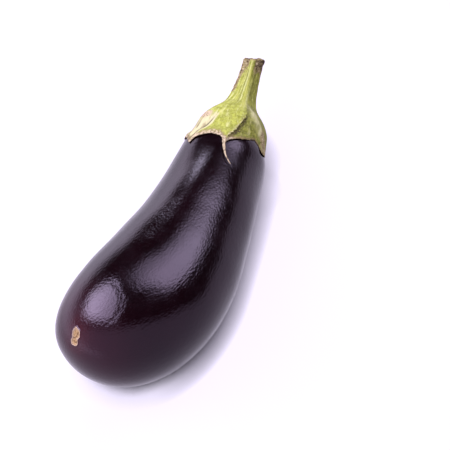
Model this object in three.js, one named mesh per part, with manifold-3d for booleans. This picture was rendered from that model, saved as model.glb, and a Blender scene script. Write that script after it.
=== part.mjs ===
// An eggplant lying on its side, in millimetres, with +Z up and the stem towards +X.
// The origin is on the small flat spot under the belly that the fruit rests on.
//
// Every piece is turned as a straight lathe shape first and then bent along one middle line,
// which runs from the blossom end (distance 0) through the fruit and out along the stem.
// Angles round the middle line start at its top side and grow towards -Y.
import * as THREE from 'three';
import { NURBSCurve } from 'three/addons/curves/NURBSCurve.js';
import { mergeVertices } from 'three/addons/utils/BufferGeometryUtils.js';
import Module from 'manifold-3d';

const wasm = await Module();
wasm.setup();

// ---------------------------------------------------------------- driving dimensions

const FRUIT_LENGTH = 184;        // along the middle line, blossom end to crown
const BELLY_RADIUS = 39;         // at the widest place
const CALYX_LENGTH = 40;         // from the rim, over the crown, to the foot of the stem
const CALYX_RADIUS = 22;         // at its shoulder, over the crown
const SEPAL_THICKNESS = 0.9;     // at the rim
const STEM_RADIUS = 6.1;         // half way up the stem
const GAP = 0.3;                 // clearance between pieces that touch
const FACET_ALLOWANCE = 0.15;    // flat facets cut the corner of a round skin by this much

// Control points that pull the middle line, a smooth cubic spline from the first to the last
const MIDDLE_LINE = new NURBSCurve(3, [0, 0, 0, 0, 1, 2, 3, 4, 5, 5, 5, 5], [
  new THREE.Vector4(-70.7, 34.2, 34.8, 1),   // blossom end
  new THREE.Vector4(-58.2, 26, 36.4, 1),
  new THREE.Vector4(-36, 2.8, 41.2, 1),      // bulb
  new THREE.Vector4(11.5, -1.2, 34.3, 1),    // belly
  new THREE.Vector4(56, 1, 29.1, 1),
  new THREE.Vector4(102, 7.4, 24, 1),        // neck, under the calyx
  new THREE.Vector4(132, 10.5, 26.5, 1),
  new THREE.Vector4(145.5, 11.5, 36.5, 1),   // cut end of the stem
]);
MIDDLE_LINE.arcLengthDivisions = 900;
const TOTAL_LENGTH = MIDDLE_LINE.getLength();

// Girth of the fruit: share of its length against share of the belly radius
const GIRTH_STATIONS = [0, 0.15, 0.3, 0.45, 0.6, 0.8, 1];
const GIRTH_SHARES = [0.865, 0.94, 1, 0.955, 0.83, 0.7, 0.59];
const BLOSSOM_DOME = 0.25;       // share of the length that rounds off the blossom end
const CROWN_DOME = 0.13;         // share of the length that rounds off the crown
const DOME_POWER = 2.2;          // a little squarer than an ellipse

// Blossom scar: a shallow oval dish beside the tip
const SCAR = { distance: 9.7, angle: 9, width: 5.6, height: 8.8, depth: 0.7 };

// Sepals: the angle of each tip, its reach past the rim and half its width, in degrees
const SEPALS = [
  { angle: -46, reach: 5.5, halfWidth: 22 },
  { angle: 8, reach: 8, halfWidth: 24 },
  { angle: 66, reach: 4, halfWidth: 28 },
  { angle: 138, reach: 8, halfWidth: 32 },
  { angle: -122, reach: 6, halfWidth: 32 },
];
const DRY_TIP = { angle: 12, reach: 15, halfWidth: 11 };   // thin dried end of the top sepal
const SEPAL_POINTEDNESS = 1.2;
const RIM_TILT = 6;              // the rim sits further back on the -Y side

const RIB_ANGLE = 8;             // one of the ribs of the stem runs into the top sepal
const RIB_COUNT = 5;
const RIB_SHARE = 0.08;          // height of the ribs as a share of the stem's radius
const CUT_SLOPE = 0.25;          // the stem is cut a little aslant, longer on the -Y side
const CUT_DISH = 0.9;            // how far the middle of the cut has sunk

const FRUIT_FACETS = { round: 48, along: 40 };
const CALYX_FACETS = { round: 80, outside: 15, inside: 14 };
const STEM_FACETS = { round: 40, along: 9 };

// Worked out from the above
const RIM = FRUIT_LENGTH - 18;                 // distance of the rim between sepals
const SHOULDER = FRUIT_LENGTH - 6;             // beyond this the calyx stands off the fruit
const STEM_FOOT = RIM + CALYX_LENGTH;          // where the calyx ends and the stem begins
const STEM_FOOT_RADIUS = STEM_RADIUS * 1.26;
const CALYX_CLEARANCE = GAP + FACET_ALLOWANCE;
const UP = new THREE.Vector3(0, 0, 1);

// ---------------------------------------------------------------- bending and joining

// Point at a distance along the middle line, moved x to its side and z towards its top
function besideMiddleLine(distance, x, z) {
  const share = THREE.MathUtils.clamp(distance / TOTAL_LENGTH, 0, 1);
  const along = MIDDLE_LINE.getTangentAt(share);
  const side = new THREE.Vector3().crossVectors(along, UP).normalize();
  const top = new THREE.Vector3().crossVectors(side, along);
  return MIDDLE_LINE.getPointAt(share)
    .addScaledVector(side, x)
    .addScaledVector(top, z)
    .addScaledVector(along, distance - share * TOTAL_LENGTH);
}

// Bends a straight piece, whose own Y is the distance along the middle line, onto that line
function bend(geometry) {
  const position = geometry.attributes.position;
  for (let i = 0; i < position.count; i++) {
    const point = besideMiddleLine(position.getY(i), position.getX(i), position.getZ(i));
    position.setXYZ(i, point.x, point.y, point.z);
  }
  return geometry;
}

// Gives each lathe vertex the distance and radius that shape(distance, radius, angle) returns
function reshape(geometry, shape) {
  const position = geometry.attributes.position;
  for (let i = 0; i < position.count; i++) {
    const radius = Math.hypot(position.getX(i), position.getZ(i));
    const angle = Math.atan2(position.getX(i), position.getZ(i));
    const [distance, newRadius] = shape(position.getY(i), radius, angle);
    position.setXYZ(i, newRadius * Math.sin(angle), distance, newRadius * Math.cos(angle));
  }
  return geometry;
}

function toSolid(geometry) {
  geometry.deleteAttribute('uv');
  geometry.deleteAttribute('normal');
  const closed = mergeVertices(geometry, 1e-4);
  return new wasm.Manifold(new wasm.Mesh({
    numProp: 3,
    vertProperties: new Float32Array(closed.attributes.position.array),
    triVerts: new Uint32Array(closed.index.array),
  }));
}

function toGeometry(solid) {
  const mesh = solid.getMesh();
  const geometry = new THREE.BufferGeometry();
  geometry.setAttribute('position', new THREE.BufferAttribute(mesh.vertProperties, 3));
  geometry.setIndex(new THREE.BufferAttribute(mesh.triVerts, 1));
  geometry.computeVertexNormals();
  return geometry;
}

// ---------------------------------------------------------------- fruit

const girthCurve = new THREE.CubicInterpolant(GIRTH_STATIONS, GIRTH_SHARES, 1);

// Rounding of an end: 0 at the pole and 1 from the end of the dome onwards
function dome(share, length) {
  const inside = Math.max(0, 1 - share / length);
  return (1 - inside ** DOME_POWER) ** (1 / DOME_POWER);
}

function fruitRadius(distance) {
  const share = THREE.MathUtils.clamp(distance / FRUIT_LENGTH, 0, 1);
  const girth = BELLY_RADIUS * girthCurve.evaluate(share)[0];
  return girth * dome(share, BLOSSOM_DOME) * dome(1 - share, CROWN_DOME);
}

function makeBody() {
  const profile = [];
  for (let i = 0; i <= FRUIT_FACETS.along; i++) {
    const distance = FRUIT_LENGTH * (1 - Math.cos(Math.PI * i / FRUIT_FACETS.along)) / 2;
    profile.push(new THREE.Vector2(fruitRadius(distance), distance));
  }
  return bend(new THREE.LatheGeometry(profile, FRUIT_FACETS.round));
}

function skinPoint(distance, degrees) {
  const angle = THREE.MathUtils.degToRad(degrees);
  const radius = fruitRadius(distance);
  return besideMiddleLine(distance, radius * Math.sin(angle), radius * Math.cos(angle));
}

// A flattened ball, half sunk in the skin: cutting it away leaves the dish of the scar
function makeScarCutter() {
  const centre = skinPoint(SCAR.distance, SCAR.angle);
  const around = skinPoint(SCAR.distance, SCAR.angle + 1).sub(centre);
  const along = skinPoint(SCAR.distance + 0.5, SCAR.angle).sub(centre);
  const outward = new THREE.Vector3().crossVectors(around, along).normalize();
  const upright = UP.clone().projectOnPlane(outward).normalize();
  const across = new THREE.Vector3().crossVectors(upright, outward);
  return new THREE.SphereGeometry(0.5, 24, 12)
    .scale(SCAR.width, SCAR.height, 2 * SCAR.depth)
    .applyMatrix4(new THREE.Matrix4().makeBasis(across, upright, outward))
    .translate(centre.x, centre.y, centre.z);
}

// Everything below the resting plane, which is cut away to leave the flat spot
function makeGroundCutter() {
  const span = 4 * FRUIT_LENGTH;
  const depth = BELLY_RADIUS;
  return new THREE.BoxGeometry(span, span, depth).translate(0, 0, -depth / 2);
}

function makeFruit() {
  const resting = toSolid(makeBody()).subtract(toSolid(makeGroundCutter()));
  return toGeometry(resting.subtract(toSolid(makeScarCutter())));
}

// ---------------------------------------------------------------- calyx

// Angle between a vertex and a sepal's tip, in degrees
function degreesFrom(tip, angle) {
  const turn = THREE.MathUtils.radToDeg(angle) - tip;
  return Math.abs(THREE.MathUtils.euclideanModulo(turn + 180, 360) - 180);
}

// Distance of the calyx rim at an angle: further from the crown where a sepal points
function rimDistance(angle) {
  const reaches = [...SEPALS, DRY_TIP].map((sepal) => {
    const closeness = Math.max(0, 1 - degreesFrom(sepal.angle, angle) / sepal.halfWidth);
    return sepal.reach * closeness ** SEPAL_POINTEDNESS;
  });
  return RIM + RIM_TILT * Math.sin(angle) - Math.max(...reaches);
}

// Factor on the radius that raises the ribs, which fade out from the stem's foot to the crown
function ribbing(distance, angle) {
  const strength = THREE.MathUtils.smoothstep(distance, FRUIT_LENGTH + 1, STEM_FOOT);
  const turn = angle - THREE.MathUtils.degToRad(RIB_ANGLE);
  return 1 + RIB_SHARE * strength * Math.cos(RIB_COUNT * turn);
}

// From the rim over the shoulder and in to the foot of the stem
function calyxOutside() {
  return new THREE.SplineCurve([
    new THREE.Vector2(fruitRadius(RIM) + CALYX_CLEARANCE + SEPAL_THICKNESS, RIM),
    new THREE.Vector2(CALYX_RADIUS, SHOULDER),
    new THREE.Vector2(CALYX_RADIUS * 0.92, SHOULDER + 6),
    new THREE.Vector2(CALYX_RADIUS * 0.79, SHOULDER + 12),
    new THREE.Vector2(CALYX_RADIUS * 0.57, SHOULDER + 18),
    new THREE.Vector2(CALYX_RADIUS * 0.43, SHOULDER + 22),
    new THREE.Vector2(STEM_FOOT_RADIUS, STEM_FOOT),
  ]).getPoints(CALYX_FACETS.outside);
}

// From the rim along the fruit's skin to the crown, with rings closer together near the crown
function calyxInside() {
  const points = [];
  for (let i = 0; i <= CALYX_FACETS.inside; i++) {
    const eased = Math.sin(Math.PI / 2 * i / CALYX_FACETS.inside);
    const distance = RIM + (FRUIT_LENGTH - RIM) * eased;
    const lift = CALYX_CLEARANCE * eased;
    points.push(new THREE.Vector2(fruitRadius(distance) + CALYX_CLEARANCE, distance + lift));
  }
  return points;
}

// A closed cup over the crown: down the inside, up the outside and in over the top face
function makeCalyx() {
  const ceiling = new THREE.Vector2(0, FRUIT_LENGTH + 1.5 * CALYX_CLEARANCE);
  const topFace = new THREE.Vector2(0, STEM_FOOT);
  const profile = [ceiling, ...calyxInside().reverse(), ...calyxOutside(), topFace];
  const cup = new THREE.LatheGeometry(profile, CALYX_FACETS.round);
  reshape(cup, (distance, radius, angle) => {
    if (distance >= SHOULDER) return [distance, radius * ribbing(distance, angle)];
    const reach = (SHOULDER - distance) / (SHOULDER - RIM);
    const moved = SHOULDER - reach * (SHOULDER - rimDistance(angle));
    return [moved, radius + fruitRadius(moved) - fruitRadius(distance)];
  });
  return toGeometry(toSolid(bend(cup)));
}

// ---------------------------------------------------------------- stem

// A ribbed stalk that widens at its foot and ends in a dished cut
function makeStem() {
  const foot = STEM_FOOT + GAP;
  const side = new THREE.SplineCurve([
    new THREE.Vector2(STEM_FOOT_RADIUS, foot),
    new THREE.Vector2(STEM_RADIUS * 1.14, foot + 5),
    new THREE.Vector2(STEM_RADIUS, foot + 13),
    new THREE.Vector2(STEM_RADIUS * 0.95, TOTAL_LENGTH - 4),
    new THREE.Vector2(STEM_RADIUS, TOTAL_LENGTH - 0.6),
  ]).getPoints(STEM_FACETS.along);
  const profile = [
    new THREE.Vector2(0, foot),
    ...side,
    new THREE.Vector2(STEM_RADIUS * 0.9, TOTAL_LENGTH),
    new THREE.Vector2(STEM_RADIUS * 0.6, TOTAL_LENGTH - CUT_DISH),
    new THREE.Vector2(0, TOTAL_LENGTH - CUT_DISH),
  ];
  const stalk = new THREE.LatheGeometry(profile, STEM_FACETS.round);
  reshape(stalk, (distance, radius, angle) => {
    const nearCut = THREE.MathUtils.smoothstep(distance, TOTAL_LENGTH - 8, TOTAL_LENGTH - 2);
    const slope = CUT_SLOPE * nearCut * radius * Math.sin(angle);
    return [distance + slope, radius * ribbing(distance, angle)];
  });
  return toGeometry(toSolid(bend(stalk)));
}

// ---------------------------------------------------------------- materials and assembly

const skin = new THREE.MeshStandardMaterial({ color: 0x1c0c1a, roughness: 0.18, metalness: 0 });
const sepalGreen = new THREE.MeshStandardMaterial({ color: 0x9a9d52, roughness: 0.6, metalness: 0 });
const stemGreen = new THREE.MeshStandardMaterial({ color: 0x8b9440, roughness: 0.65, metalness: 0 });

const eggplant = new THREE.Group();

function addPiece(name, geometry, material) {
  const piece = new THREE.Mesh(geometry, material);
  piece.name = name;
  eggplant.add(piece);
}

addPiece('fruit', makeFruit(), skin);
addPiece('calyx', makeCalyx(), sepalGreen);
addPiece('stem', makeStem(), stemGreen);

export default eggplant;
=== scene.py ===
"""A whole eggplant lying on its belly on a plain pale floor.

Lengths are written in millimetres times MM, so every mesh is in metres, in the frame of the
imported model: +Z is up and the stem points towards +X. Each piece is turned round one middle
line, which runs from the blossom end (distance 0) through the fruit and out along the stem.
Angles round the middle line are in degrees. They start at its top side and grow towards -Y.
"""
import math

import bpy
import numpy as np
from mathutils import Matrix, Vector, noise


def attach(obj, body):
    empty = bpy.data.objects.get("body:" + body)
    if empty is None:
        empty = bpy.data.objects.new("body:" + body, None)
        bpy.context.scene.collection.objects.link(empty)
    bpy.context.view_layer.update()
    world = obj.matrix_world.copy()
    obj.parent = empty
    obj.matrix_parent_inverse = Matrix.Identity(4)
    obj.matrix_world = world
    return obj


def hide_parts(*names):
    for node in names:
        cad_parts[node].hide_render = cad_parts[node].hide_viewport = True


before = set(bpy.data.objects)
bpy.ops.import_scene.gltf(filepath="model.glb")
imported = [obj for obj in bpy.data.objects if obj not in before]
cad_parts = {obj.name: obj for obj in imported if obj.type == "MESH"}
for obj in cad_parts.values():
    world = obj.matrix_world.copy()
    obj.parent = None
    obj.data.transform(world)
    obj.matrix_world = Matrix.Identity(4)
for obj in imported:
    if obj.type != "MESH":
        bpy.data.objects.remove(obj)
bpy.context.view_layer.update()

MM = 0.001

# ---------------------------------------------------------------- driving dimensions

FRUIT_LENGTH = 184 * MM      # along the middle line, blossom end to crown
BELLY_RADIUS = 39 * MM       # at the widest place
STEM_FOOT = 206 * MM         # where the calyx ends and the stem begins

# Control points that pull the middle line, a smooth cubic spline from the first to the last
MIDDLE_LINE = MM * np.array([
    (-70.7, 34.2, 34.8),     # blossom end
    (-58.2, 26, 36.4),
    (-36, 2.8, 41.2),        # bulb
    (11.5, -1.2, 34.3),      # belly
    (56, 1, 29.1),
    (102, 7.4, 24),          # neck, under the calyx
    (132, 10.5, 26.5),
    (145.5, 11.5, 36.5),     # cut end of the stem
])

# Girth of the fruit: share of its length against share of the belly radius
GIRTH_STATIONS = [0, 0.15, 0.3, 0.45, 0.6, 0.8, 1]
GIRTH_SHARES = [0.865, 0.94, 1, 0.955, 0.83, 0.7, 0.59]
BLOSSOM_DOME = 0.25          # share of the length that rounds off the blossom end
CROWN_DOME = 0.13            # share of the length that rounds off the crown
DOME_POWER = 2.2             # a little squarer than an ellipse

# Slight waist below the calyx: distance in millimetres against height over the girth
NECK_STATIONS = [62, 78, 89, 101, 112, 122, 129, 136, 141, 147, 154, 159, 165, 172]
NECK_WAVES = [0, -0.15, 0.08, 0.66, 0.98, 0.93, 0.73, 0.33, 0.02, -0.22, -0.28, -0.13, -0.02, 0]

# Gentle hollow and swelling along the left of the neck, in the same units
LEFT_STATIONS = [60, 80, 100, 112, 118, 124, 132, 140, 147, 152, 158, 165]
LEFT_WAVES = [0, -0.05, 0.20, 0.45, 0.50, 0.40, 0.10, -0.22, -0.42, -0.44, -0.24, 0]

# Blossom scar, beside the tip of the fruit. A lobe has a place across and along the scar, a
# radius, all in millimetres, and how much shorter its length counts than its width.
SCAR_DISTANCE = 9.7 * MM
SCAR_ANGLE = 9
SCAR_UPWARD = (0.69, 0.2, 0.69)
SCAR_LOBES = [(0.45, 1.7, 2.75, 0.8), (0.1, 3.9, 1.5, 0.75), (-0.15, -2.5, 2.55, 0.85)]

# Faint crease on the bulb: distance along the middle line in mm against angle
BULB_CREASE = [(39.2, -12.3), (39.5, -5.7), (38.7, 1.0), (37.3, 7.6), (35.2, 12.6), (31.6, 16.3),
               (27.5, 17.5)]

# Outside of the calyx and the stalk: distance along the middle line against radius
COLLAR_STATIONS = MM * np.array([172, 178, 184, 190, 196, 200, 206, 213, 220, 230])
COLLAR_RADII = MM * np.array([22.4, 21.7, 20.4, 17.2, 12.4, 9.6, 7.7, 6.7, 6.1, 5.8])

# Rim of the calyx: angle in degrees against distance along the middle line in millimetres.
# A low distance is the tip of a sepal, and a high one is the notch between two sepals.
RIM_SHAPE = [
    (-180, 165), (-160, 166), (-140, 162), (-122, 156), (-104, 163), (-88, 166.5), (-72, 165),
    (-56, 161), (-48, 157), (-44, 155.2), (-39, 158.5), (-30, 160), (-15, 161.1), (-6, 160.4),
    (-1, 158.9), (2, 157.2), (4, 156.6), (6, 157.2), (9, 159.2), (16, 161.4), (22, 163), (30, 165),
    (40, 168), (46, 169.2), (53, 168), (60, 165), (68, 165.2), (78, 167.5), (92, 170.5),
    (108, 169), (126, 161), (138, 156.5), (150, 161), (164, 165.5),
]

# Lines along the calyx and the stem: distance in millimetres against angle in degrees
OVERLAP_LINE = [(158, 5), (160, 6), (162.5, 7.2), (167.5, 11), (172, 14), (176, 17), (183, 21),
                (190, 21.5)]
# Edge of the painted shade: past this line, towards the right, the calyx and the stem are painted
# in darker greens as painted shade.
SHADE_LINE = OVERLAP_LINE + [(200, 20), (206, 19), (212, 16), (217, 14), (229, 8)]
FOLD_LINE = [(155, -49), (158.5, -46.5), (162.5, -41), (166, -37), (170, -33.5), (173.5, -30),
             (178, -26), (184, -20)]
FLAP_LINE = [(158, -53), (160.5, -51.5), (165, -49.5), (171, -50), (176, -48)]
# Crests of two ribs of the stalk, painted lighter as painted highlights
BRIGHT_RIB = [(180, 14), (192, 14), (202, 13), (206, 12), (212, 9), (217, 7), (229, 0)]
LEFT_RIB = [(200, -20), (206, -25), (210, -27), (215, -23), (221, -22), (227, -33)]
PALE_RIDGE = [(168, 70), (176, 58), (182, 47), (186.5, 40), (191, 35), (195.8, 29), (200, 21)]

KNOB_DISTANCE = 180.5        # dry knob on the left shoulder of the calyx, in millimetres
KNOB_ANGLE = -44

# Dry curled end of the top sepal: distance, angle, height over the skin and width, in mm
DRY_TIP = [
    (162, 3.4, 0.8, 2.4), (159.6, 2.9, 1.1, 2.5), (157.2, 2.9, 1.3, 2.3), (154.3, 4.0, 1.3, 1.9),
    (150.1, 6.8, 1.4, 1.35), (147.6, 8.8, 1.5, 1.15), (145.4, 11.2, 1.4, 0.95),
    (143.3, 15, 1.2, 0.65), (141.7, 19.2, 0.7, 0.2),
]

# Directions that the studio is laid out in, as the camera sees them
TO_TOP = Vector((0.745, 0.316, 0.588))
TO_FRONT = Vector((-0.541, -0.230, 0.809))
TO_RIGHT = TO_TOP.cross(TO_FRONT)

# Light of the studio. The corners of a panel are (azimuth, elevation) in degrees.
LIGHT_COLOUR = (1.10, 1.11, 1.36)
WALL_COLOUR = (1.12, 1.02, 1.30)     # front and walls, as bright as the lit floor
FLOOR_COLOUR = (0.065, 0.055, 0.065)
FLOOR_GLOW = (0.93, 0.87, 1.07)
GLOW_REACH = 18 * MM         # how far from the fruit its shade on the glowing floor ends
SIDE_GLOW = 0.1              # how much more the floor glows close behind the fruit
BACK_GLOW = 1.3              # and further back
FRONT_EDGE = -0.05           # height where the pale front ends
DARK_LIGHT = 0.03
LEFT_PANEL = [(-27, 8), (-29, 42), (-44, 54), (-64, 57), (-85, 45), (-88, 35), (-66, 10)]
LEFT_EDGE_PANEL = [(-18, 8), (-20, 38), (-29, 44), (-27, 8)]
LEFT_GLOW = [(-48, 14), (-48, 42), (-80, 42), (-80, 14)]
TOP_PANEL_LOW = [(38, 29), (48, 27), (62, 30), (77, 35), (91, 46), (95, 57), (2, 51)]
TOP_PANEL_RIGHT = [(2, 51), (95, 57), (95, 75), (31, 76)]
TOP_PANEL_LEFT = [(2, 51), (31, 76), (-34, 72), (-34, 64)]
SIDE_STRIP = [(-150, 56), (-168, 56), (-168, 71), (-150, 71)]
BACK_PANEL = [(128, 25), (128, 60), (175, 62), (175, 25)]
PANELS = [                   # corners, softness of the edges, strength
    (LEFT_PANEL, 0.11, 8.2),
    (LEFT_GLOW, 0.20, 6.0),
    (LEFT_EDGE_PANEL, 0.03, 4.5),
    (TOP_PANEL_LOW, 0.12, 7.6),
    (TOP_PANEL_RIGHT, 0.12, 4.4),
    (TOP_PANEL_LEFT, 0.12, 4.2),
    (SIDE_STRIP, 0.025, 6.5),
    (BACK_PANEL, 0.05, 4.0),
]

WALL_TOP = 0.09              # height, as the sine of the elevation, where the pale walls end
WALL_FADE = 0.03
FRONT_FADE = 0.06
FLOOR_REACH = 12.0           # metres from the middle of the floor to its sides

STEM_RIBS = 5
STEM_RIB_ANGLE = 8           # one rib of the stem runs into the top sepal
CUT_STAND_OUT = 0.5 * MM     # how far the slanted cut stands past the end of the middle line
CUT_SLANT = 0.2

# Camera, at the photograph's viewing angle
CAMERA_AZIMUTH = -67         # degrees
CAMERA_ELEVATION = 62
CAMERA_DISTANCE = 1.1        # metres
CAMERA_LENS = 156.2          # millimetres
LOOK_AT = MM * Vector((37.8, -15.0, 35.0))


# ---------------------------------------------------------------- middle line

def spline_point(t, control):
    """Points at the parameters t, from 0 to 1, of the clamped cubic B-spline of control."""
    spans = len(control) - 3
    knots = np.concatenate([[0] * 3, np.arange(spans + 1), [spans] * 3])
    u = np.clip(t * spans, 0, spans - 1e-9)
    span = np.floor(u).astype(int) + 3
    points = [control[span - 3 + i] for i in range(4)]
    for level in range(1, 4):
        for i in range(3, level - 1, -1):
            low = knots[span - 3 + i]
            high = knots[span + 1 + i - level]
            share = ((u - low) / (high - low))[:, None]
            points[i] = (1 - share) * points[i - 1] + share * points[i]
    return points[3]


LINE_POINTS = spline_point(np.linspace(0, 1, 2400), MIDDLE_LINE)
LINE_STEPS = np.linalg.norm(np.diff(LINE_POINTS, axis=0), axis=1)
LINE_DISTANCES = np.concatenate([[0], np.cumsum(LINE_STEPS)])
TOTAL_LENGTH = LINE_DISTANCES[-1]


def along_line(distance):
    return np.stack([np.interp(distance, LINE_DISTANCES, LINE_POINTS[:, k]) for k in range(3)], -1)


def unit(vectors):
    return vectors / np.linalg.norm(vectors, axis=-1, keepdims=True)


def round_the_line(distance, degrees, radius):
    """Points at distances along the middle line, turned round it by degrees, at a radius."""
    reach = 0.5 * MM
    inside = np.clip(distance, reach, TOTAL_LENGTH - reach)
    along = unit(along_line(inside + reach) - along_line(inside - reach))
    side = unit(np.cross(along, [0, 0, 1.0]))
    top = np.cross(side, along)
    angle = np.radians(degrees)[..., None]
    overshoot = (distance - np.clip(distance, 0, TOTAL_LENGTH))[..., None]
    outward = np.sin(angle) * side + np.cos(angle) * top
    return along_line(distance) + overshoot * along + np.asarray(radius)[..., None] * outward


# ---------------------------------------------------------------- curves and noise

def cubic_curve(x, stations, values):
    """Smooth curve through the values at the stations."""
    xs = np.asarray(stations, float)
    ys = np.asarray(values, float)
    slopes = np.empty_like(ys)
    slopes[1:-1] = (ys[2:] - ys[:-2]) / (xs[2:] - xs[:-2])
    slopes[0] = 0.5 * (ys[1] - ys[0]) / (xs[1] - xs[0])
    slopes[-1] = 0.5 * (ys[-1] - ys[-2]) / (xs[-1] - xs[-2])
    x = np.clip(x, xs[0], xs[-1])
    i = np.clip(np.searchsorted(xs, x, side="right") - 1, 0, len(xs) - 2)
    width = xs[i + 1] - xs[i]
    t = (x - xs[i]) / width
    return ((1 + 2 * t) * (1 - t) ** 2 * ys[i] + t * (1 - t) ** 2 * width * slopes[i]
            + t * t * (3 - 2 * t) * ys[i + 1] - t * t * (1 - t) * width * slopes[i + 1])


def smoothstep(x, low, high):
    t = np.clip((x - low) / (high - low), 0, 1)
    return t * t * (3 - 2 * t)


def hump(x, centre, width):
    return np.exp(-((x - centre) / width) ** 2)


def turn_between(degrees, tip):
    """Signed angle from a tip, between -180 and 180 degrees."""
    return (degrees - tip + 180) % 360 - 180


def grain(points, size, seed=0):
    """Smooth noise between about -1 and 1 at each point, with lumps of about the given size."""
    flat = points.reshape(-1, 3) / size + 17.3 * seed
    values = [noise.noise(Vector(p)) for p in flat]
    return np.array(values).reshape(points.shape[:-1])


# ---------------------------------------------------------------- mesh building

def normals_of(points, centres):
    """Outward normals of a grid of points that is closed round its second axis."""
    along = np.gradient(points, axis=0)
    around = np.roll(points, -1, axis=1) - np.roll(points, 1, axis=1)
    normals = np.cross(along, around)
    normals /= np.linalg.norm(normals, axis=-1, keepdims=True) + 1e-15
    facing = ((points - centres) * normals).sum(-1, keepdims=True)
    return normals * np.where(facing < 0, -1, 1)


def tube_faces(rings, columns, first=0):
    """Quads between the rings of a grid that is closed round, wound to face outwards."""
    ring, column = np.meshgrid(np.arange(rings - 1), np.arange(columns), indexing="ij")
    after = (column + 1) % columns
    a = first + ring * columns + column
    b = first + ring * columns + after
    return np.stack([a, b, b + columns, a + columns], -1).reshape(-1, 4).tolist()


def closed_tubes(name, tubes):
    """A mesh of closed tubes, each with rings of points, a pole at each end and marks.

    A mark is a grid of one number or one vector for each point."""
    vertices, faces = [], []
    marks = {key: [] for key in tubes[0][3]}
    for points, start_pole, end_pole, grids in tubes:
        rings, columns = points.shape[:2]
        first = len(vertices)
        vertices += points.reshape(-1, 3).tolist() + [list(start_pole), list(end_pole)]
        faces += tube_faces(rings, columns, first)
        start, last = first + rings * columns, first + (rings - 1) * columns
        for k in range(columns):
            after = (k + 1) % columns
            faces.append((start, first + after, first + k))
            faces.append((start + 1, last + k, last + after))
        for key, grid in grids.items():
            flat = grid.reshape(rings * columns, -1)
            ends = [grid[0].reshape(columns, -1).mean(0), grid[-1].reshape(columns, -1).mean(0)]
            marks[key].append(np.concatenate([flat, ends]))
    mesh = bpy.data.meshes.new(name)
    mesh.from_pydata(vertices, [], faces)
    for key, parts in marks.items():
        values = np.concatenate(parts).astype(np.float32)
        if values.shape[1] == 3:
            layer = mesh.attributes.new(key, "FLOAT_VECTOR", "POINT")
            layer.data.foreach_set("vector", values.reshape(-1))
        else:
            layer = mesh.attributes.new(key, "FLOAT", "POINT")
            layer.data.foreach_set("value", values.reshape(-1))
    mesh.polygons.foreach_set("use_smooth", [True] * len(mesh.polygons))
    mesh.validate()
    mesh.update()
    piece = bpy.data.objects.new(name, mesh)
    bpy.context.scene.collection.objects.link(piece)
    return piece


# ---------------------------------------------------------------- fruit

def dome(share, length):
    inside = np.clip(1 - share / length, 0, 1)
    return (1 - inside ** DOME_POWER) ** (1 / DOME_POWER)


def fruit_radius(distance):
    share = np.clip(distance / FRUIT_LENGTH, 0, 1)
    girth = BELLY_RADIUS * cubic_curve(share, GIRTH_STATIONS, GIRTH_SHARES)
    return girth * dome(share, BLOSSOM_DOME) * dome(1 - share, CROWN_DOME)


def on_skin(distance, degrees):
    distance, degrees = np.asarray(distance, float), np.asarray(degrees, float)
    return round_the_line(distance, degrees, fruit_radius(distance))


def fruit_grid():
    """Distances and angles of the fruit's grid, closer together round the blossom scar."""
    pole = FRUIT_LENGTH * (1 - np.cos(np.linspace(0.03, 0.16, 8) * math.pi / 2 * 0.9)) * 0.5
    tip = np.arange(pole[-1] + 0.25 * MM, 20 * MM, 0.26 * MM)
    belly = np.arange(20 * MM, FRUIT_LENGTH - 8 * MM, 0.8 * MM)
    crown = FRUIT_LENGTH - 8 * MM * (1 - np.linspace(0, 0.99, 12)) ** 1.6
    distances = np.concatenate([pole, tip, belly, crown[1:]])
    near = SCAR_ANGLE + np.arange(-17, 17, 0.5)
    far = SCAR_ANGLE + np.arange(17, 343, 2.0)
    return np.meshgrid(distances, np.concatenate([near, far]), indexing="ij")


def scar_frame():
    """Centre of the scar and its directions across, lengthways and outward."""
    centre = on_skin(SCAR_DISTANCE, SCAR_ANGLE)
    around = unit(on_skin(SCAR_DISTANCE, SCAR_ANGLE + 1) - centre)
    along = unit(on_skin(SCAR_DISTANCE + 0.5 * MM, SCAR_ANGLE) - centre)
    outward = unit(np.cross(around, along))
    lengthways = np.array(SCAR_UPWARD)
    lengthways = unit(lengthways - outward * (lengthways @ outward))
    return centre, np.cross(lengthways, outward), lengthways, outward


def scar_depth(points):
    """How far inside the outline of the scar each point is, in millimetres, outside below 0.

    The upper lobe of the scar comes to a point, and the lower one is round."""
    centre, across, lengthways, outward = scar_frame()
    offset = (points - centre) / MM
    x, y, z = offset @ across, offset @ lengthways, offset @ outward
    wobble = 0.45 * grain(points, 2.2 * MM, 3) + 0.25 * grain(points, 0.9 * MM, 4)
    lobes = [radius - np.hypot(x - across_by, (y - along_by) * flatness)
             for across_by, along_by, radius, flatness in SCAR_LOBES]
    depth = np.max(lobes, axis=0) + wobble
    return np.where(z > -6, depth, -9), x, y


def crease_depth(distance, degrees, width=1.3):
    """Depth, from 0 to 1, of the crease at the distances and angles."""
    across = math.radians(1) * BELLY_RADIUS / MM
    x, y = distance / MM, turn_between(degrees, 0) * across
    line = [np.array([s, a * across]) for s, a in BULB_CREASE]
    gap = np.full(x.shape, 99.0)
    for start, end in zip(line, line[1:]):
        step = end - start
        from_x, from_y = x - start[0], y - start[1]
        share = np.clip((from_x * step[0] + from_y * step[1]) / (step @ step), 0, 1)
        gap = np.minimum(gap, np.hypot(from_x - share * step[0], from_y - share * step[1]))
    return hump(gap, 0, width)


def rest_on_floor(points, softness=0.7 * MM):
    """Flattens what hangs below the floor, with a soft edge to the flat spot."""
    height = points[..., 2]
    share = np.clip(0.5 + 0.5 * height / softness, 0, 1)
    points[..., 2] = height * share + 0.5 * softness * share * (1 - share)
    return points


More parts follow.
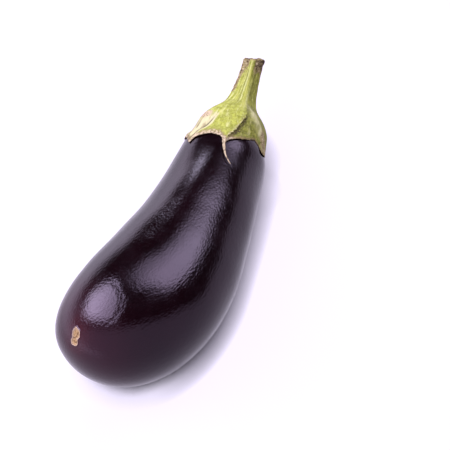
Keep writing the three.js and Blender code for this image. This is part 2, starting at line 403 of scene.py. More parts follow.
def make_fruit():
    distance, degrees = fruit_grid()
    points = on_skin(distance, degrees)
    centres = along_line(distance)
    normals = normals_of(points, centres)

    depth, x, y = scar_depth(points)
    inside = smoothstep(depth, -0.15, 0.35)
    brim = hump(depth, 0.25, 0.45)
    grooves = hump(np.hypot(x - 0.1, y + 2.2) - 1.0, 0, 0.3) * (y < -2.1)
    grooves = np.maximum(grooves, hump(np.hypot(x - 1.3, (y - 1.9) * 0.7), 0, 0.55))
    grooves = np.maximum(grooves, hump(y + 0.2 - 0.7 * np.sin(2.4 * x), 0, 0.3) * (np.abs(x) < 1.4))
    cork = 0.10 * grain(points, 0.8 * MM, 5) * inside
    relief = 0.28 * brim - 0.34 * inside * (1 - brim) + cork - 0.22 * grooves * inside
    halo = hump(np.maximum(-depth, 0), 0, 5.5)

    neck = smoothstep(distance, 120 * MM, 165 * MM)
    waves = 0.14 * grain(points, 30 * MM, 1) + 0.03 * grain(points, 11 * MM, 2)
    pleats = neck * 0.03 * np.cos(np.radians(7 * degrees) + 2 * grain(points, 40 * MM, 6))
    waist = cubic_curve(distance / MM, NECK_STATIONS, NECK_WAVES)
    waist *= 1 - smoothstep(np.abs(turn_between(degrees, 28)), 32, 70)
    left = cubic_curve(distance / MM, LEFT_STATIONS, LEFT_WAVES)
    waist += left * hump(turn_between(degrees, -16), 0, 20)
    relief = relief + (waves + pleats) * smoothstep(distance, 0, 12 * MM) + waist
    relief = relief - 0.07 * crease_depth(distance, degrees)

    points = rest_on_floor(points + normals * (relief * MM)[..., None])
    radius, angle = fruit_radius(distance), np.radians(degrees)
    weave = np.stack([radius * np.cos(angle), radius * np.sin(angle), distance], -1)
    on_bulb = 0.35 * smoothstep(distance, 70 * MM, 40 * MM)
    marks = {
        "scar": inside, "halo": halo, "groove": grooves * inside, "brim": brim,
        "dimples": np.maximum(crease_depth(distance, degrees, 4.0), on_bulb),
        "blush": smoothstep(distance, 42 * MM, 12 * MM),
        "weave": weave,
    }
    return closed_tubes("eggplant_fruit",
                        [(points, along_line(0.0), along_line(FRUIT_LENGTH), marks)])


# ---------------------------------------------------------------- calyx

def rim_distance(degrees):
    angles = [a for a, _ in RIM_SHAPE]
    values = [d * MM for _, d in RIM_SHAPE]
    angles = [angles[-1] - 360] + angles + [180, angles[1] + 360]
    values = [values[-1]] + values + [values[0], values[1]]
    return cubic_curve(turn_between(degrees, 0), angles, values)


def collar_radius(distance):
    """Radius of the outside of the calyx and the stalk, before ribs and folds."""
    cover = fruit_radius(np.minimum(distance, 170 * MM)) + 1.25 * MM
    collar = cubic_curve(distance, COLLAR_STATIONS, COLLAR_RADII)
    return cover + (collar - cover) * smoothstep(distance, 164 * MM, 175 * MM)


def rib_wave(distance, degrees):
    """The five angular ribs of the stalk: 1 on a rib and about -1 between two ribs."""
    twist = 5 * smoothstep(distance, 226 * MM, 204 * MM)
    turn = turn_between(degrees, STEM_RIB_ANGLE + twist) * STEM_RIBS
    ridge = 1 - np.abs(turn_between(turn, 0)) / 90
    return ridge + 0.25 * np.cos(np.radians(turn))


def stalk_relief(distance, degrees, points):
    """Height over the collar of the ribs and the wrinkles that the calyx and stem share, in mm."""
    strength = smoothstep(distance, 187 * MM, 208 * MM)
    ribs = 0.42 * strength * rib_wave(distance, degrees)
    small_rib = 0.3 * strength * hump(turn_between(degrees, -25), 0, 9)
    stretched = np.stack([degrees * 0.12, distance / MM * 0.035, 0 * degrees], -1)
    wrinkles = 0.16 * strength * grain(stretched, 1, 7)
    lumps = 0.05 * grain(points, 1.3 * MM, 8) + 0.09 * grain(points, 3.5 * MM, 9)
    lean = -0.5 * strength * np.sin(np.radians(degrees))
    return ribs + small_rib + wrinkles + lumps + lean


def line_turn(distance, degrees, line):
    """Angle past a line over the calyx and stem, growing towards -Y."""
    angle = cubic_curve(distance / MM, [d for d, _ in line], [a for _, a in line])
    return turn_between(degrees, angle)


def seam_turn(distance, degrees):
    """Angle past the ragged edge of the sepal that overlaps its neighbour."""
    past = line_turn(distance, degrees, OVERLAP_LINE)
    place = np.stack([0.42 * degrees, 0.8 * distance / MM, 0 * degrees], -1)
    return past + 2.2 * grain(place, 1.0, 22)


def calyx_relief(distance, degrees, points):
    """Height of the sepals' folds and edges over the collar, in mm."""
    body = smoothstep(distance, 201 * MM, 184 * MM)
    past = seam_turn(distance, degrees)
    plate = (1 - smoothstep(past, 0, 1.6)) * smoothstep(past, -30, -2)
    edge_line = hump(past, -0.6, 1.6) * smoothstep(distance, 186 * MM, 180 * MM)
    edge_line *= smoothstep(distance, 158 * MM, 163 * MM)
    step = 0.75 * plate - 0.35 * hump(past, 5, 5) + 0.25 * edge_line

    fold = -line_turn(distance, degrees, FOLD_LINE)
    folded = smoothstep(fold, 1.5, 8) * (1 - smoothstep(fold, 30, 46))
    folded *= smoothstep(distance, 188 * MM, 177 * MM)
    groove = hump(fold, 0, 2.6) * smoothstep(distance, 180 * MM, 173 * MM)
    crease = hump(line_turn(distance, degrees, FLAP_LINE), 0, 2)
    crease *= smoothstep(distance, 176 * MM, 168 * MM)
    knob = hump(turn_between(degrees, KNOB_ANGLE), 0, 8)
    knob *= hump(distance, KNOB_DISTANCE * MM, 2.6 * MM)
    knob *= 1.5 + 1.1 * grain(points, 1.3 * MM, 20)

    ridge = hump(line_turn(distance, degrees, PALE_RIDGE), 0, 8)
    ridge *= smoothstep(distance, 170 * MM, 178 * MM)
    bulge = hump(turn_between(degrees, 36), 0, 13) * hump(distance, 175 * MM, 7 * MM)
    back_ribs = hump(turn_between(degrees, 138), 0, 11) + hump(turn_between(degrees, -122), 0, 11)
    back_valleys = hump(turn_between(degrees, 100), 0, 10) + hump(turn_between(degrees, 178), 0, 12)

    front = step + 0.55 * folded - 0.5 * groove - 0.3 * crease + 0.6 * ridge + 0.5 * bulge
    return body * (front + 0.7 * back_ribs - 0.5 * back_valleys) + knob


def green_marks(distance, degrees):
    """Shares of the colours that the calyx and the stem have in common, from 0 to 1."""
    along = distance / MM
    turn = turn_between(degrees, 0)
    on_stalk = smoothstep(along, 192, 204)
    # Painted shade over the right side of the calyx, half as strong on the stem
    shade = smoothstep(line_turn(distance, degrees, SHADE_LINE), -1, 3.5)
    shade *= 1 - smoothstep(turn, 92, 128)

    # Painted highlights along the crests of the stalk's ribs
    rib = hump(line_turn(distance, degrees, BRIGHT_RIB), -1, 5) * smoothstep(along, 184, 198)
    rib = np.maximum(rib, 0.7 * on_stalk * hump(line_turn(distance, degrees, LEFT_RIB), 0, 5))
    pale = hump(line_turn(distance, degrees, PALE_RIDGE), 0, 10)
    pale *= smoothstep(along, 171, 177) * smoothstep(along, 201, 193)

    left_edge = smoothstep(turn, -110, -80) * smoothstep(turn, -34, -58)
    left_edge *= smoothstep(along, 202, 210)
    top = smoothstep(along, 216, 229)
    top_left = top * smoothstep(turn, -12, -26)
    top_right = top * smoothstep(turn, 9, 24)
    right_edge = 0.8 * smoothstep(along, 208, 218) * hump(turn, 95, 16)
    back = 0.6 * smoothstep(along, 212, 228) * smoothstep(np.abs(turn), 95, 125)
    spots = hump(along, 176.5, 5) * hump(turn, 62, 8) + hump(along, 170, 5) * hump(turn, 76, 10)
    brown = np.clip(left_edge + top_left + top_right + right_edge + back + 1.2 * spots, 0, 1)
    dark = smoothstep(along, 220, 229) * smoothstep(turn, 20, 42)

    past = seam_turn(distance, degrees)
    # Painted shade in a band beside the overlapping sepal's edge, on the sepal beneath
    seam_shade = hump(past, 2.4, 3.0) * smoothstep(along, 187, 180) * smoothstep(along, 156, 161)
    fold = -line_turn(distance, degrees, FOLD_LINE)
    flap = smoothstep(fold, -9, -1) * smoothstep(fold, 60, 46) * smoothstep(along, 184, 172)
    second = hump(line_turn(distance, degrees, FLAP_LINE), 0, 1.3) * smoothstep(along, 177, 170)
    line = np.maximum(hump(fold, 0, 1.5), second)
    line = np.maximum(line, 0.8 * hump(fold, 29, 2)) * smoothstep(along, 180, 173)
    line *= smoothstep(along, 152, 156)

    angle = np.radians(degrees)
    around = 20 * MM
    return {
        "shade": shade * (1 - 0.5 * on_stalk),
        "on_stalk": on_stalk,
        # Right side of the calyx, where the rim is drawn thinner and painted tan as painted shade
        "right": smoothstep(turn, 8, 18) * smoothstep(turn, 130, 100),
        "rib": rib,
        # Painted shade in the hollow between two ribs of the stalk
        "hollow": on_stalk * hump(turn, -8, 4.5) * smoothstep(along, 228, 216),
        "pale": pale,
        "brown": brown,
        "dark": dark,
        "seam_shade": seam_shade,
        "lip": hump(past, -1.3, 1.1) * smoothstep(along, 185, 178) * smoothstep(along, 158, 162),
        "flap": flap,
        "line": line,
        "knob": hump(turn_between(degrees, KNOB_ANGLE), 0, 12) * hump(along, KNOB_DISTANCE, 3.4),
        "weave": np.stack([around * np.cos(angle), around * np.sin(angle), distance], -1),
    }


def calyx_angles():
    fine = np.arange(-14, 34, 0.4)
    middle = np.concatenate([np.arange(-80, -14, 0.7), np.arange(34, 90, 0.7)])
    rest = np.arange(90, 280, 1.4)
    return np.sort(np.concatenate([fine, middle, rest]))


def calyx_tube():
    angles = calyx_angles()
    steps = np.concatenate([np.linspace(0, 0.25, 34)[:-1], np.linspace(0.25, 1, 86)])
    share, degrees = np.meshgrid(steps, angles, indexing="ij")
    rim = rim_distance(degrees)
    rough = np.stack([np.cos(np.radians(degrees)), np.sin(np.radians(degrees)), 0 * degrees], -1)
    rim = rim + (0.45 * grain(rough, 0.07, 11) + 0.5 * grain(rough, 0.025, 12)) * MM
    distance = rim + (STEM_FOOT - rim) * share
    base = round_the_line(distance, degrees, collar_radius(distance))
    relief = calyx_relief(distance, degrees, base) + stalk_relief(distance, degrees, base)
    from_rim = (distance - rim) / MM
    edge = hump(from_rim, 0, 1.3)
    lift = 0.35 * edge * (0.6 + grain(rough, 0.2, 13))
    relief = relief * smoothstep(from_rim, -1, 4) + lift - 0.75 * edge
    outside = round_the_line(distance, degrees, collar_radius(distance) + relief * MM)
    marks = green_marks(distance, degrees)
    marks["edge"] = from_rim

    inner_share = np.linspace(0, 1, 14)
    share, degrees = np.meshgrid(inner_share, angles, indexing="ij")
    rim_in = rim[0] + 0.15 * MM
    inner = rim_in + (FRUIT_LENGTH - 0.4 * MM - rim_in) * share
    lifted = np.maximum(0.12, 0.15 + 0.6 * lift[0] * (1 - smoothstep(share, 0, 0.25))) * MM
    inside = round_the_line(inner, degrees, fruit_radius(inner) + lifted)
    points = np.concatenate([inside[::-1], outside])
    marks = {key: np.concatenate([np.repeat(grid[:1], len(inner_share), 0), grid])
             for key, grid in marks.items()}
    return points, along_line(FRUIT_LENGTH + 0.3 * MM), along_line(STEM_FOOT), marks


def dry_tip_tube():
    """The thin curled end of the top sepal, which lies over the skin."""
    path = np.array(DRY_TIP)
    steps = np.linspace(0, 1, 56)
    knots = np.linspace(0, 1, len(path))
    distance, degrees, height, width = [cubic_curve(steps, knots, path[:, k]) for k in range(4)]
    middle = round_the_line(distance * MM, degrees, fruit_radius(distance * MM) + height * MM)
    forward = unit(np.gradient(middle, axis=0))
    outward = unit(middle - along_line(distance * MM))
    across = unit(np.cross(forward, outward))
    outward = np.cross(across, forward)

    angle = np.radians(np.arange(0, 360, 18))
    side, depth = np.cos(angle)[None, :, None], np.sin(angle)[None, :, None]
    frayed = 1 + 0.35 * grain(middle, 1.3 * MM, 21)
    half = (width * frayed * MM / 2)[:, None, None]
    flesh = 0.24 * MM * (0.4 + 0.6 * smoothstep(steps, 1, 0.5))[:, None, None]
    points = middle[:, None] + across[:, None] * side * half
    points = points + outward[:, None] * (depth * flesh + 0.5 * half * side ** 2)
    points = points + 0.08 * MM * grain(points, 0.9 * MM, 17)[..., None] * outward[:, None]

    shape = points.shape[:2]
    distances = np.repeat(distance[:, None] * MM, shape[1], 1)
    marks = green_marks(distances, np.repeat(degrees[:, None], shape[1], 1))
    marks = {key: grid if key == "weave" else 0 * grid for key, grid in marks.items()}
    marks["edge"] = np.full(shape, 0.9)
    marks["line"] = 0.8 * smoothstep(np.repeat(-side[..., 0], shape[0], 0), 0.35, 0.95)
    return points, middle[0], middle[-1], marks


def make_calyx():
    return closed_tubes("eggplant_calyx", [calyx_tube(), dry_tip_tube()])


# ---------------------------------------------------------------- stem

def make_stem():
    angles = np.arange(-180, 180, 1.5)
    side = np.concatenate([np.linspace(STEM_FOOT, TOTAL_LENGTH - 1.2 * MM, 90),
                           TOTAL_LENGTH - np.linspace(1.0, 0, 9) * MM])
    distance, degrees = np.meshgrid(side, angles, indexing="ij")
    base = round_the_line(distance, degrees, collar_radius(distance))
    relief = stalk_relief(distance, degrees, base)
    near_cut = smoothstep(distance, TOTAL_LENGTH - 5 * MM, TOTAL_LENGTH)
    flare = 0.2 * near_cut * (1 + grain(base, 2.5 * MM, 14)) - 0.5 * smoothstep(
        distance, TOTAL_LENGTH - 0.7 * MM, TOTAL_LENGTH)
    corky = green_marks(distance, degrees)["brown"]
    flakes = corky * (0.50 * grain(base, 1.9 * MM, 18) + 0.30 * grain(base, 0.8 * MM, 19))
    flakes *= 1 - 0.6 * hump(turn_between(degrees, 80), 0, 50)
    radius = collar_radius(distance) + (relief + flare + flakes) * MM
    slope = (CUT_STAND_OUT + CUT_SLANT * np.sin(np.radians(degrees)) * radius) * near_cut
    ragged = 0.9 * MM * near_cut * grain(base, 2.0 * MM, 15)
    outside = round_the_line(distance + slope + ragged, degrees, radius)

    shares = np.array([0.93, 0.84, 0.7, 0.5, 0.3, 0.12])
    sink = np.array([0.1, 0.7, 1.0, 1.15, 1.2, 1.2]) * MM
    rings = []
    for share, depth in zip(shares, sink):
        ring_radius = radius[-1] * share
        pith = 0.2 * MM * grain(base[-1] * share, 1.2 * MM, 16)
        tilt = CUT_STAND_OUT + CUT_SLANT * np.sin(np.radians(angles)) * ring_radius
        rings.append(round_the_line(np.full(len(angles), TOTAL_LENGTH) - depth + tilt + pith,
                                    angles, ring_radius))
    points = np.concatenate([outside, np.array(rings)])
    inward = np.full((len(shares), len(angles)), TOTAL_LENGTH)
    marks = green_marks(np.concatenate([distance, inward]), np.repeat(angles[None], len(points), 0))
    marks["cut"] = np.concatenate([smoothstep(distance, TOTAL_LENGTH - 1.0 * MM, TOTAL_LENGTH),
                                   np.ones_like(inward)])
    marks["edge"] = np.full(points.shape[:2], 99.0)
    return closed_tubes("eggplant_stem", [(points, along_line(STEM_FOOT),
                                           along_line(TOTAL_LENGTH - 1.2 * MM), marks)])


# ---------------------------------------------------------------- node helpers

class Nodes:
    """Short calls for making and joining the nodes of one material or world."""

    def __init__(self, owner):
        owner.use_nodes = True
        self.tree = owner.node_tree
        self.tree.nodes.clear()

    def add(self, kind, inputs=(), **settings):
        node = self.tree.nodes.new(kind)
        for key, value in settings.items():
            setattr(node, key, value)
        for socket, value in dict(inputs).items():
            self.plug(node.inputs[socket], value)
        return node

    def plug(self, socket, value):
        if isinstance(value, bpy.types.NodeSocket):
            self.tree.links.new(value, socket)
        else:
            socket.default_value = value

    def math(self, operation, *values):
        return self.add("ShaderNodeMath", enumerate(values), operation=operation).outputs[0]

    def times(self, first, second):
        return self.math("MULTIPLY", first, second)

    def dot(self, vector, direction):
        node = self.add("ShaderNodeVectorMath", {0: vector, 1: direction}, operation="DOT_PRODUCT")
        return node.outputs["Value"]

    def ramp(self, value, low, high, to_low=0.0, to_high=1.0):
        """Smooth change from one value to another while the input goes from low to high."""
        inputs = {"Value": value, "From Min": low, "From Max": high,
                  "To Min": to_low, "To Max": to_high}
        node = self.add("ShaderNodeMapRange", inputs, interpolation_type="SMOOTHSTEP")
        return node.outputs["Result"]

    def mix(self, share, first, second):
        node = self.add("ShaderNodeMix", data_type="RGBA")
        self.plug(node.inputs[0], share)
        self.plug(node.inputs[6], first)
        self.plug(node.inputs[7], second)
        return node.outputs[2]

    def noise(self, vector, size, detail=2.0, roughness=0.5):
        """Noise from 0 to 1, with lumps of about the given size in metres."""
        inputs = {"Vector": vector, "Scale": 1 / size, "Detail": detail, "Roughness": roughness}
        return self.add("ShaderNodeTexNoise", inputs).outputs["Fac"]

    def mark(self, name):
        return self.add("ShaderNodeAttribute", attribute_name=name).outputs["Fac"]

    def stretched(self, name, share):
        """Place from a vector mark, with its third axis multiplied by a share."""
        vector = self.add("ShaderNodeAttribute", attribute_name=name).outputs["Vector"]
        inputs = {0: vector, 1: (1.0, 1.0, share)}
        return self.add("ShaderNodeVectorMath", inputs, operation="MULTIPLY").outputs["Vector"]

    def place(self):
        return self.add("ShaderNodeTexCoord").outputs["Object"]

    def bump(self, height, distance, below=None):
        inputs = {"Height": height, "Distance": distance, "Strength": 1.0}
        if below is not None:
            inputs["Normal"] = below
        return self.add("ShaderNodeBump", inputs).outputs["Normal"]


def rgb(red, green, blue):
    return (red, green, blue, 1.0)


# ---------------------------------------------------------------- materials

SKIN_BLACK = rgb(0.0005, 0.00005, 0.0002)
SKIN_CLOUD = rgb(0.0016, 0.0002, 0.0007)
SKIN_SPECKLE = rgb(0.0034, 0.0006, 0.0016)
SKIN_BLUSH = rgb(0.012, 0.0022, 0.0045)      # redder towards the blossom end
SKIN_HALO = rgb(0.024, 0.004, 0.006)         # round the scar
SKIN_TINT = rgb(1.0, 0.78, 1.0)
SKIN_IOR = 1.335
SCAR_BROWN = rgb(0.17, 0.095, 0.035)
SCAR_TAN = rgb(0.29, 0.18, 0.085)
SCAR_BRIM = rgb(0.27, 0.185, 0.13)
SCAR_GROOVE = rgb(0.055, 0.022, 0.008)
RIPPLE_DEPTH = 0.05 * MM
PORE_DEPTH = 0.12 * MM
DIMPLE_DEPTH = 0.09 * MM

GREEN_IOR = 1.25
LIME_DARK = rgb(0.140, 0.140, 0.014)
LIME = rgb(0.242, 0.244, 0.034)
LIME_PALE = rgb(0.330, 0.322, 0.110)
# Darker copies of the greens, painted shade for the right side; the middle one also colours dark
# specks
PAINTED_SHADE_DARK = rgb(0.060, 0.060, 0.005)
OLIVE_SPECKS_AND_PAINTED_SHADE = rgb(0.130, 0.128, 0.013)
PAINTED_SHADE_PALE = rgb(0.215, 0.190, 0.058)
GROOVE_BROWN = rgb(0.075, 0.062, 0.012)
# Painted highlight on the ribs of the stalk, and painted shade in the hollow between them
RIB_PAINTED_HIGHLIGHT = rgb(0.285, 0.272, 0.060)
HOLLOW_PAINTED_SHADE = rgb(0.110, 0.105, 0.018)
DRY_PALE = rgb(0.310, 0.280, 0.140)
CORK_BROWN = rgb(0.060, 0.036, 0.013)
CORK_TAN = rgb(0.200, 0.150, 0.066)
# Dark brown of the top right corner of the stalk, and painted shade along the very edge of the
# calyx rim
DARK_BROWN_AND_EDGE_SHADE = rgb(0.022, 0.011, 0.005)
CREAM = rgb(0.330, 0.262, 0.160)
STRIPE_PALE = rgb(0.410, 0.395, 0.170)
FLAP_CREAM = rgb(0.370, 0.325, 0.190)
FLAP_PINK = rgb(0.200, 0.150, 0.082)
# Painted shade beside the overlapping edge of a sepal
SEAM_PAINTED_SHADE = rgb(0.034, 0.022, 0.006)
LINE_BROWN = rgb(0.040, 0.020, 0.008)
KNOB_PINK = rgb(0.330, 0.245, 0.155)
RIM_CREAM = rgb(0.335, 0.255, 0.165)
# Tan band inside the dry rim, and the rim itself on the right side as painted shade
RIM_TAN_AND_PAINTED_SHADE = rgb(0.150, 0.108, 0.044)


def skin_material():
    material = bpy.data.materials.new("eggplant_skin")
    n = Nodes(material)
    place = n.place()
    clouds = n.ramp(n.noise(place, 26 * MM, 3), 0.35, 0.7)
    speckle = n.ramp(n.noise(place, 1.1 * MM, 2), 0.4, 0.75)
    colour = n.mix(clouds, SKIN_BLACK, SKIN_CLOUD)
    colour = n.mix(n.times(speckle, 0.35), colour, SKIN_SPECKLE)
    colour = n.mix(n.mark("blush"), colour, SKIN_BLUSH)
    halo = n.times(n.mark("halo"), n.ramp(n.noise(place, 4 * MM, 3), 0.2, 0.8, 0.55, 1.0))
    colour = n.mix(halo, colour, SKIN_HALO)

    cork = n.mix(n.ramp(n.noise(place, 0.9 * MM, 4, 0.6), 0.35, 0.65), SCAR_BROWN, SCAR_TAN)
    cork = n.mix(n.mark("brim"), cork, SCAR_BRIM)
    cork = n.mix(n.mark("groove"), cork, SCAR_GROOVE)
    scar = n.ramp(n.mark("scar"), 0.35, 0.65)
    colour = n.mix(scar, colour, cork)

    ripples = n.noise(n.stretched("weave", 0.5), 4.5 * MM, 2, 0.5)
    pores = n.noise(n.stretched("weave", 0.6), 0.95 * MM, 1, 0.5)
    dimples = n.times(n.noise(place, 1.5 * MM, 1, 0.5), n.mark("dimples"))
    normal = n.bump(ripples, RIPPLE_DEPTH)
    normal = n.bump(pores, PORE_DEPTH, below=normal)
    normal = n.bump(dimples, DIMPLE_DEPTH, below=normal)
    smears = n.noise(place, 12 * MM, 3, 0.6)
    gloss = n.ramp(smears, 0.3, 0.7, 0.14, 0.21)
    roughness = n.math("ADD", gloss, n.times(scar, 0.55))
    shader = n.add("ShaderNodeBsdfPrincipled", {
        "Base Color": colour, "Roughness": roughness, "Normal": normal})
    shader.inputs["IOR"].default_value = SKIN_IOR
    shader.inputs["Specular Tint"].default_value = SKIN_TINT
    n.add("ShaderNodeOutputMaterial", {"Surface": shader.outputs[0]})
    return material


def flesh_colour(n, place, veins, fibres, mottle):
    """Lime flesh, and darker greens painted on the right side as painted shade, with the stripes of
    the stalk.
    """
    fine = n.ramp(n.noise(place, 0.9 * MM, 3, 0.6), 0.42, 0.66)
    lime = n.mix(mottle, LIME_DARK, LIME)
    lime = n.mix(n.times(fine, 0.38), lime, LIME_PALE)
    lime = n.mix(n.ramp(veins, 0.56, 0.70, 0, 0.8), lime, LIME_PALE)
    lime = n.mix(n.ramp(veins, 0.42, 0.30, 0, 0.7), lime, LIME_DARK)
    specks = n.ramp(n.noise(place, 1.2 * MM, 2, 0.6), 0.60, 0.72)
    lime = n.mix(n.times(specks, 0.75), lime, OLIVE_SPECKS_AND_PAINTED_SHADE)
    # Darker copy of the flesh, painted as shade on the right side
    painted_shade_colour = n.mix(mottle, PAINTED_SHADE_DARK, OLIVE_SPECKS_AND_PAINTED_SHADE)
    painted_shade_colour = n.mix(n.times(fine, 0.45), painted_shade_colour, PAINTED_SHADE_PALE)
    painted_shade_colour = n.mix(n.ramp(veins, 0.58, 0.72, 0, 0.5), painted_shade_colour, PAINTED_SHADE_PALE)
    shade, on_stalk = n.mark("shade"), n.mark("on_stalk")
    colour = n.mix(shade, lime, painted_shade_colour)

    # The stripes and gaps of the stalk also turn darker under the painted shade
    stripes = n.times(on_stalk, n.ramp(fibres, 0.52, 0.66))
    colour = n.mix(n.times(stripes, 0.8), colour, n.mix(shade, STRIPE_PALE, PAINTED_SHADE_PALE))
    gaps = n.times(on_stalk, n.ramp(fibres, 0.46, 0.32))
    colour = n.mix(n.times(gaps, 0.7), colour, n.mix(shade, LIME_DARK, PAINTED_SHADE_DARK))
    grooves = n.ramp(n.noise(n.stretched("weave", 0.12), 2.6 * MM, 2), 0.56, 0.66)
    return n.mix(n.times(n.times(grooves, on_stalk), 0.6), colour, GROOVE_BROWN)


def dry_marks(n, place, veins, colour):
    """The hollow of the stalk painted darker as painted shade, its ribs painted lighter as painted
    highlights, the dry ridge, and the brown corky patches.
    """
    cork = n.noise(place, 1.7 * MM, 4, 0.7)
    # Painted shade in the hollow and painted highlights on the ribs of the stalk
    hollow = n.times(n.mark("hollow"), n.ramp(cork, 0.3, 0.6, 0.75, 0.4))
    colour = n.mix(hollow, colour, HOLLOW_PAINTED_SHADE)
    colour = n.mix(n.times(n.mark("rib"), n.ramp(cork, 0.3, 0.6, 0.5, 0.9)), colour, RIB_PAINTED_HIGHLIGHT)
    dry = n.times(n.mark("pale"), n.ramp(veins, 0.36, 0.6, 0.35, 1.0))
    colour = n.mix(dry, colour, DRY_PALE)

    brown = n.mark("brown")
    patch = n.ramp(n.math("ADD", n.times(brown, 0.5), cork), 0.62, 0.80)
    patch = n.times(patch, n.ramp(brown, 0.05, 0.4))
    colour = n.mix(patch, colour, n.mix(n.ramp(cork, 0.38, 0.56), CORK_BROWN, CORK_TAN))
    flecks = n.math("ADD", n.times(brown, 0.2), n.noise(place, 1.0 * MM, 3, 0.7))
    flecks = n.times(n.ramp(flecks, 0.72, 0.84), n.ramp(brown, 0.1, 0.5))
    colour = n.mix(flecks, colour, CREAM)
    darkest = n.times(n.mark("dark"), n.ramp(cork, 0.62, 0.42, 0.35, 1.0))
    return n.mix(darkest, colour, DARK_BROWN_AND_EDGE_SHADE)


def calyx_edges(n, place, veins, colour):
    """The folded left sepal, the overlap with its painted shade, the knob and the dry uneven rim,
    with painted shade on the rim's right side and along its edge.
    """
    flap = n.math("ADD", n.mark("flap"), n.ramp(veins, 0.3, 0.7, -0.2, 0.3))
    flap = n.times(n.ramp(flap, 0.15, 0.7), 0.9)
    colour = n.mix(flap, colour, n.mix(n.ramp(veins, 0.32, 0.5), FLAP_PINK, FLAP_CREAM))
    broken = n.ramp(n.noise(place, 1.1 * MM, 3), 0.35, 0.5, 0.5, 1.0)
    # Painted shade along the overlapped sepal, broken up by noise
    colour = n.mix(n.times(n.mark("seam_shade"), broken), colour, SEAM_PAINTED_SHADE)
    lip = n.times(n.mark("lip"), n.ramp(n.noise(place, 1.5 * MM, 3), 0.4, 0.6))
    colour = n.mix(n.times(lip, 0.8), colour, RIM_CREAM)
    dry = n.ramp(n.noise(place, 1.2 * MM, 3, 0.6), 0.37, 0.48)
    colour = n.mix(n.ramp(n.mark("knob"), 0.2, 0.6), colour, n.mix(dry, CORK_BROWN, KNOB_PINK))

    right, edge = n.mark("right"), n.mark("edge")
    uneven = n.ramp(n.noise(place, 1.3 * MM, 3, 0.6), 0.2, 0.8, 0, 2.2)
    ragged = n.math("ADD", n.times(edge, n.ramp(right, 0, 1, 0.72, 1.25)), uneven)
    colour = n.mix(n.ramp(ragged, 4.6, 2.7, 0, 0.8), colour, RIM_TAN_AND_PAINTED_SHADE)
    stains = n.ramp(n.noise(place, 1.0 * MM, 3, 0.6), 0.50, 0.60, 0, 0.8)
    # On the right side the rim is painted tan instead of cream, as painted shade
    rim = n.mix(stains, n.mix(right, RIM_CREAM, RIM_TAN_AND_PAINTED_SHADE), CORK_BROWN)
    colour = n.mix(n.ramp(ragged, 3.1, 2.1), colour, rim)
    # The very edge of the rim is painted dark brown, as painted shade where the rim meets the skin
    colour = n.mix(n.ramp(edge, 0.35, 0.1, 0, 0.8), colour, DARK_BROWN_AND_EDGE_SHADE)
    faint = n.ramp(n.noise(place, 1.6 * MM, 3), 0.3, 0.5, 0.6, 1.0)
    return n.mix(n.times(n.mark("line"), faint), colour, LINE_BROWN)


def green_material(name, stem):
    """Fleshy green of the calyx and the stem, with its dry cream rim and brown corky marks."""
    material = bpy.data.materials.new(name)
    n = Nodes(material)
    place = n.place()
    mottle = n.ramp(n.noise(place, 3.0 * MM, 4, 0.62), 0.36, 0.66)
    veins = n.noise(n.stretched("weave", 0.22), 2.4 * MM, 3, 0.6)
    fibres = n.noise(n.stretched("weave", 0.06), 3.6 * MM, 4, 0.62)
    colour = flesh_colour(n, place, veins, fibres, mottle)
    colour = dry_marks(n, place, veins, colour)
    if stem:
        face = n.mix(n.ramp(n.noise(place, 1.3 * MM, 4), 0.4, 0.62), CORK_BROWN, CORK_TAN)
        colour = n.mix(n.mark("cut"), colour, face)
    else:
        colour = calyx_edges(n, place, veins, colour)

    normal = n.bump(n.noise(place, 2.6 * MM, 4, 0.6), 0.5 * MM)
    normal = n.bump(n.noise(place, 0.8 * MM, 3, 0.6), 0.22 * MM, below=normal)
    normal = n.bump(veins, 0.35 * MM, below=normal)
    normal = n.bump(n.times(fibres, n.mark("on_stalk")), 0.7 * MM, below=normal)
    shader = n.add("ShaderNodeBsdfPrincipled", {
        "Base Color": colour, "Roughness": n.ramp(mottle, 0, 1, 0.8, 0.7), "Normal": normal})
    shader.inputs["IOR"].default_value = GREEN_IOR
    n.add("ShaderNodeOutputMaterial", {"Surface": shader.outputs[0]})
    return material


# ---------------------------------------------------------------- stage

def floor_material():
    """Pale and faintly glowing, like a lit studio table: the glow is painted light, and the soft
    shade round the fruit is a painted shadow, deepest towards the lower right.
    """
    material = bpy.data.materials.new("floor_pale")
    n = Nodes(material)
    shader = n.add("ShaderNodeBsdfDiffuse")
    shader.inputs["Color"].default_value = rgb(*FLOOR_COLOUR)
    place = n.place()
    # Painted shadow: the glow fades where the floor is closed in by the fruit, deeper towards the
    # lower right
    near = n.add("ShaderNodeAmbientOcclusion", {"Distance": GLOW_REACH}, samples=16)
    open_share = near.outputs["AO"]
    low_right = n.ramp(n.dot(place, TO_TOP), -10 * MM, 60 * MM, 3.1, 2.0)
    depth = n.ramp(n.dot(place, TO_RIGHT), -15 * MM, 25 * MM, 0.4, low_right)
    contact = n.ramp(open_share, 0.40, 0.66)
    strength = n.times(contact, n.math("POWER", open_share, depth))
    # Painted light: the floor glows brighter beside and further behind the fruit
    back = n.dot(place, (0, 1, 0))
    beside = n.ramp(back, 0, 50 * MM, 1.0, 1 + SIDE_GLOW)
    behind = n.ramp(back, 120 * MM, 230 * MM, beside, 1 + BACK_GLOW)
    strength = n.times(strength, behind)
    glow = n.add("ShaderNodeEmission", {"Color": rgb(*FLOOR_GLOW), "Strength": strength})
    both = n.add("ShaderNodeAddShader", {0: shader.outputs[0], 1: glow.outputs[0]})
    n.add("ShaderNodeOutputMaterial", {"Surface": both.outputs[0]})
    return material


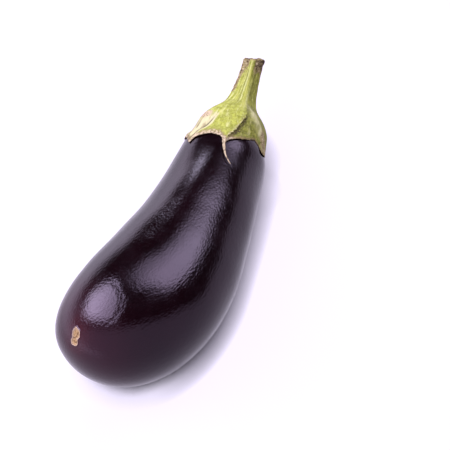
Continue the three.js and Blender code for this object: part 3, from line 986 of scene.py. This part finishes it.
def make_floor():
    corners = [(-FLOOR_REACH, -FLOOR_REACH, 0), (FLOOR_REACH, -FLOOR_REACH, 0),
               (FLOOR_REACH, FLOOR_REACH, 0), (-FLOOR_REACH, FLOOR_REACH, 0)]
    mesh = bpy.data.meshes.new("floor")
    mesh.from_pydata(corners, [], [(0, 1, 2, 3)])
    floor = bpy.data.objects.new("floor", mesh)
    bpy.context.scene.collection.objects.link(floor)
    floor.data.materials.append(floor_material())


def studio_direction(azimuth, elevation):
    """Unit vector to a place in the studio: azimuth 0 is the front and 90 is the right."""
    a, e = math.radians(azimuth), math.radians(elevation)
    level = TO_RIGHT * math.sin(a) + TO_FRONT * math.cos(a)
    return (level * math.cos(e) + TO_TOP * math.sin(e)).normalized()


def panel(n, sight, corners, soft):
    """Mask of a soft-edged panel of light whose corners are given as (azimuth, elevation)."""
    places = [studio_direction(*corner) for corner in corners]
    middle = sum(places, Vector())
    mask = 1.0
    for first, second in zip(places, places[1:] + places[:1]):
        edge = first.cross(second).normalized()
        if edge.dot(middle) < 0:
            edge = -edge
        mask = n.times(mask, n.ramp(n.dot(sight, edge), -soft, soft))
    return mask


def make_studio():
    """World light: pale low walls, a pale front, a dark ceiling and soft panels of light."""
    world = bpy.data.worlds.new("studio")
    bpy.context.scene.world = world
    n = Nodes(world)
    sight = n.add("ShaderNodeTexCoord").outputs["Generated"]
    walls = n.ramp(n.dot(sight, (0, 0, 1)), WALL_TOP, WALL_TOP - WALL_FADE)
    front = n.ramp(n.dot(sight, TO_TOP), FRONT_EDGE + FRONT_FADE, FRONT_EDGE - FRONT_FADE)
    pale = n.math("MAXIMUM", walls, front)
    light = DARK_LIGHT
    for corners, soft, strength in PANELS:
        lit = n.times(panel(n, sight, corners, soft), strength)
        light = n.math("ADD", light, lit)
    panels = n.add("ShaderNodeBackground", {"Color": rgb(*LIGHT_COLOUR), "Strength": light})
    wall = n.add("ShaderNodeBackground", {"Color": rgb(*WALL_COLOUR), "Strength": pale})
    both = n.add("ShaderNodeAddShader", {0: panels.outputs[0], 1: wall.outputs[0]})
    n.add("ShaderNodeOutputWorld", {"Surface": both.outputs[0]})


def make_camera():
    azimuth, elevation = math.radians(CAMERA_AZIMUTH), math.radians(CAMERA_ELEVATION)
    back = Vector((math.sin(azimuth) * math.cos(elevation),
                   -math.cos(azimuth) * math.cos(elevation), math.sin(elevation)))
    data = bpy.data.cameras.new("camera")
    data.lens = CAMERA_LENS
    data.sensor_width = 36
    data.clip_end = 50
    camera = bpy.data.objects.new("camera", data)
    camera.location = LOOK_AT + back * CAMERA_DISTANCE
    camera.rotation_mode = "QUATERNION"
    camera.rotation_quaternion = (-back).to_track_quat("-Z", "Y")
    bpy.context.scene.collection.objects.link(camera)
    bpy.context.scene.camera = camera


# ---------------------------------------------------------------- assembly

def dress(piece, material, node):
    piece.data.materials.append(material)
    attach(piece, "root")
    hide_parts(node)


bpy.context.scene.view_settings.view_transform = "Standard"
make_camera()
make_studio()
make_floor()
dress(make_fruit(), skin_material(), "fruit")
dress(make_calyx(), green_material("calyx_green", stem=False), "calyx")
dress(make_stem(), green_material("stem_green", stem=True), "stem")
